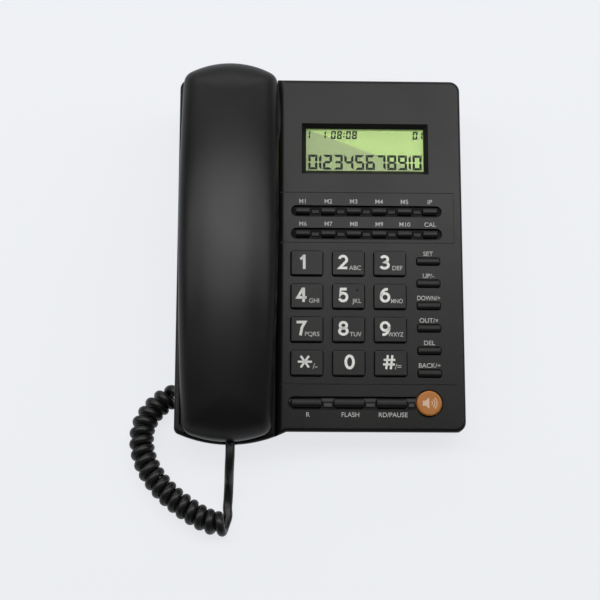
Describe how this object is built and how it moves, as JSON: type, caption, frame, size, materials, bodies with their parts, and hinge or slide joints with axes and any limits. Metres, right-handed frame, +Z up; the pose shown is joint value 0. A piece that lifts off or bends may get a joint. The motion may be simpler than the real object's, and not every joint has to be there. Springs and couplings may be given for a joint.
{
  "type": "corded telephone",
  "caption": "Black corded desk telephone: sloping key panel with display and memory keys, cradled handset at the left on a curly cord.",
  "frame": {"origin": "on the desk, under the middle of the base's bounding box", "axes": "+X to the user's right, +Y away from the user, +Z up; the handset lies at -X"},
  "size_m": [0.1762, 0.2484, 0.0712],
  "materials": {
    "housing": "satin",
    "handset_shell": "satin",
    "keycap": "satin",
    "button": "satin",
    "foot_rubber": "matte",
    "screw_steel": "plain",
    "lens": "clear",
    "display": "matte",
    "board": "satin",
    "mat_rubber": "matte",
    "speaker_metal": "plain",
    "capsule": "satin",
    "jack": "satin",
    "cord": "satin",
    "plug": "gloss"
  },
  "bodies": {
    "base": {"base_top": "housing", "base_bottom": "housing", "feet": "foot_rubber", "base_screws": "screw_steel", "lcd_lens": "lens", "lcd_module": "display", "main_board": "board", "key_mat": "mat_rubber", "loudspeaker": "speaker_metal", "base_mic": "capsule", "line_jack": "jack", "cord_jack": "jack", "hook_switch": "jack", "coil_cord": "cord", "cord_lead": "cord", "base_plug": "plug"},
    "handset": {"handset_top": "handset_shell", "handset_bottom": "handset_shell", "ear_receiver": "speaker_metal", "handset_mic": "capsule", "handset_weight": "screw_steel", "handset_socket": "jack", "handset_screws": "screw_steel", "handset_plug": "plug"},
    "hook_plunger": {"hook_plunger": "keycap"},
    "key_1": {"key_1": "keycap"},
    "key_2": {"key_2": "keycap"},
    "key_3": {"key_3": "keycap"},
    "key_4": {"key_4": "keycap"},
    "key_5": {"key_5": "keycap"},
    "key_6": {"key_6": "keycap"},
    "key_7": {"key_7": "keycap"},
    "key_8": {"key_8": "keycap"},
    "key_9": {"key_9": "keycap"},
    "key_star": {"key_star": "keycap"},
    "key_0": {"key_0": "keycap"},
    "key_hash": {"key_hash": "keycap"},
    "memory_key_1": {"memory_key_1": "keycap"},
    "memory_key_2": {"memory_key_2": "keycap"},
    "memory_key_3": {"memory_key_3": "keycap"},
    "memory_key_4": {"memory_key_4": "keycap"},
    "memory_key_5": {"memory_key_5": "keycap"},
    "prefix_key": {"prefix_key": "keycap"},
    "memory_key_6": {"memory_key_6": "keycap"},
    "memory_key_7": {"memory_key_7": "keycap"},
    "memory_key_8": {"memory_key_8": "keycap"},
    "memory_key_9": {"memory_key_9": "keycap"},
    "memory_key_10": {"memory_key_10": "keycap"},
    "call_key": {"call_key": "keycap"},
    "set_key": {"set_key": "keycap"},
    "up_key": {"up_key": "keycap"},
    "down_key": {"down_key": "keycap"},
    "out_key": {"out_key": "keycap"},
    "delete_key": {"delete_key": "keycap"},
    "back_key": {"back_key": "keycap"},
    "recall_key": {"recall_key": "keycap"},
    "flash_key": {"flash_key": "keycap"},
    "redial_key": {"redial_key": "keycap"},
    "speaker_button": {"speaker_button": "button"}
  },
  "joints": [
    {"name": "handset_lift", "type": "slide", "parent": "base", "child": "handset", "axis": [0, -0.1392, 0.9903], "range_m": [0, 0.1]},
    {"name": "hook_rise", "type": "slide", "parent": "base", "child": "hook_plunger", "axis": [0, -0.1392, 0.9903], "range_m": [0, 0.004]},
    {"name": "key_1_press", "type": "slide", "parent": "base", "child": "key_1", "axis": [0, 0.1392, -0.9903], "range_m": [0, 0.0015], "stiffness_N_per_m": 300, "springref_m": -0.001},
    {"name": "key_2_press", "type": "slide", "parent": "base", "child": "key_2", "axis": [0, 0.1392, -0.9903], "range_m": [0, 0.0015], "stiffness_N_per_m": 300, "springref_m": -0.001},
    {"name": "key_3_press", "type": "slide", "parent": "base", "child": "key_3", "axis": [0, 0.1392, -0.9903], "range_m": [0, 0.0015], "stiffness_N_per_m": 300, "springref_m": -0.001},
    {"name": "key_4_press", "type": "slide", "parent": "base", "child": "key_4", "axis": [0, 0.1392, -0.9903], "range_m": [0, 0.0015], "stiffness_N_per_m": 300, "springref_m": -0.001},
    {"name": "key_5_press", "type": "slide", "parent": "base", "child": "key_5", "axis": [0, 0.1392, -0.9903], "range_m": [0, 0.0015], "stiffness_N_per_m": 300, "springref_m": -0.001},
    {"name": "key_6_press", "type": "slide", "parent": "base", "child": "key_6", "axis": [0, 0.1392, -0.9903], "range_m": [0, 0.0015], "stiffness_N_per_m": 300, "springref_m": -0.001},
    {"name": "key_7_press", "type": "slide", "parent": "base", "child": "key_7", "axis": [0, 0.1392, -0.9903], "range_m": [0, 0.0015], "stiffness_N_per_m": 300, "springref_m": -0.001},
    {"name": "key_8_press", "type": "slide", "parent": "base", "child": "key_8", "axis": [0, 0.1392, -0.9903], "range_m": [0, 0.0015], "stiffness_N_per_m": 300, "springref_m": -0.001},
    {"name": "key_9_press", "type": "slide", "parent": "base", "child": "key_9", "axis": [0, 0.1392, -0.9903], "range_m": [0, 0.0015], "stiffness_N_per_m": 300, "springref_m": -0.001},
    {"name": "key_star_press", "type": "slide", "parent": "base", "child": "key_star", "axis": [0, 0.1392, -0.9903], "range_m": [0, 0.0015], "stiffness_N_per_m": 300, "springref_m": -0.001},
    {"name": "key_0_press", "type": "slide", "parent": "base", "child": "key_0", "axis": [0, 0.1392, -0.9903], "range_m": [0, 0.0015], "stiffness_N_per_m": 300, "springref_m": -0.001},
    {"name": "key_hash_press", "type": "slide", "parent": "base", "child": "key_hash", "axis": [0, 0.1392, -0.9903], "range_m": [0, 0.0015], "stiffness_N_per_m": 300, "springref_m": -0.001},
    {"name": "memory_key_1_press", "type": "slide", "parent": "base", "child": "memory_key_1", "axis": [0, 0.1392, -0.9903], "range_m": [0, 0.0015], "stiffness_N_per_m": 300, "springref_m": -0.001},
    {"name": "memory_key_2_press", "type": "slide", "parent": "base", "child": "memory_key_2", "axis": [0, 0.1392, -0.9903], "range_m": [0, 0.0015], "stiffness_N_per_m": 300, "springref_m": -0.001},
    {"name": "memory_key_3_press", "type": "slide", "parent": "base", "child": "memory_key_3", "axis": [0, 0.1392, -0.9903], "range_m": [0, 0.0015], "stiffness_N_per_m": 300, "springref_m": -0.001},
    {"name": "memory_key_4_press", "type": "slide", "parent": "base", "child": "memory_key_4", "axis": [0, 0.1392, -0.9903], "range_m": [0, 0.0015], "stiffness_N_per_m": 300, "springref_m": -0.001},
    {"name": "memory_key_5_press", "type": "slide", "parent": "base", "child": "memory_key_5", "axis": [0, 0.1392, -0.9903], "range_m": [0, 0.0015], "stiffness_N_per_m": 300, "springref_m": -0.001},
    {"name": "prefix_key_press", "type": "slide", "parent": "base", "child": "prefix_key", "axis": [0, 0.1392, -0.9903], "range_m": [0, 0.0015], "stiffness_N_per_m": 300, "springref_m": -0.001},
    {"name": "memory_key_6_press", "type": "slide", "parent": "base", "child": "memory_key_6", "axis": [0, 0.1392, -0.9903], "range_m": [0, 0.0015], "stiffness_N_per_m": 300, "springref_m": -0.001},
    {"name": "memory_key_7_press", "type": "slide", "parent": "base", "child": "memory_key_7", "axis": [0, 0.1392, -0.9903], "range_m": [0, 0.0015], "stiffness_N_per_m": 300, "springref_m": -0.001},
    {"name": "memory_key_8_press", "type": "slide", "parent": "base", "child": "memory_key_8", "axis": [0, 0.1392, -0.9903], "range_m": [0, 0.0015], "stiffness_N_per_m": 300, "springref_m": -0.001},
    {"name": "memory_key_9_press", "type": "slide", "parent": "base", "child": "memory_key_9", "axis": [0, 0.1392, -0.9903], "range_m": [0, 0.0015], "stiffness_N_per_m": 300, "springref_m": -0.001},
    {"name": "memory_key_10_press", "type": "slide", "parent": "base", "child": "memory_key_10", "axis": [0, 0.1392, -0.9903], "range_m": [0, 0.0015], "stiffness_N_per_m": 300, "springref_m": -0.001},
    {"name": "call_key_press", "type": "slide", "parent": "base", "child": "call_key", "axis": [0, 0.1392, -0.9903], "range_m": [0, 0.0015], "stiffness_N_per_m": 300, "springref_m": -0.001},
    {"name": "set_key_press", "type": "slide", "parent": "base", "child": "set_key", "axis": [0, 0.1392, -0.9903], "range_m": [0, 0.0015], "stiffness_N_per_m": 300, "springref_m": -0.001},
    {"name": "up_key_press", "type": "slide", "parent": "base", "child": "up_key", "axis": [0, 0.1392, -0.9903], "range_m": [0, 0.0015], "stiffness_N_per_m": 300, "springref_m": -0.001},
    {"name": "down_key_press", "type": "slide", "parent": "base", "child": "down_key", "axis": [0, 0.1392, -0.9903], "range_m": [0, 0.0015], "stiffness_N_per_m": 300, "springref_m": -0.001},
    {"name": "out_key_press", "type": "slide", "parent": "base", "child": "out_key", "axis": [0, 0.1392, -0.9903], "range_m": [0, 0.0015], "stiffness_N_per_m": 300, "springref_m": -0.001},
    {"name": "delete_key_press", "type": "slide", "parent": "base", "child": "delete_key", "axis": [0, 0.1392, -0.9903], "range_m": [0, 0.0015], "stiffness_N_per_m": 300, "springref_m": -0.001},
    {"name": "back_key_press", "type": "slide", "parent": "base", "child": "back_key", "axis": [0, 0.1392, -0.9903], "range_m": [0, 0.0015], "stiffness_N_per_m": 300, "springref_m": -0.001},
    {"name": "recall_key_press", "type": "slide", "parent": "base", "child": "recall_key", "axis": [0, 0.1392, -0.9903], "range_m": [0, 0.0015], "stiffness_N_per_m": 300, "springref_m": -0.001},
    {"name": "flash_key_press", "type": "slide", "parent": "base", "child": "flash_key", "axis": [0, 0.1392, -0.9903], "range_m": [0, 0.0015], "stiffness_N_per_m": 300, "springref_m": -0.001},
    {"name": "redial_key_press", "type": "slide", "parent": "base", "child": "redial_key", "axis": [0, 0.1392, -0.9903], "range_m": [0, 0.0015], "stiffness_N_per_m": 300, "springref_m": -0.001},
    {"name": "speaker_button_press", "type": "slide", "parent": "base", "child": "speaker_button", "axis": [0, 0.1392, -0.9903], "range_m": [0, 0.0015], "stiffness_N_per_m": 300, "springref_m": -0.001}
  ],
  "couplings": [
    {"joint": "hook_rise", "follows": "handset_lift", "ratio": 0.04}
  ]
}
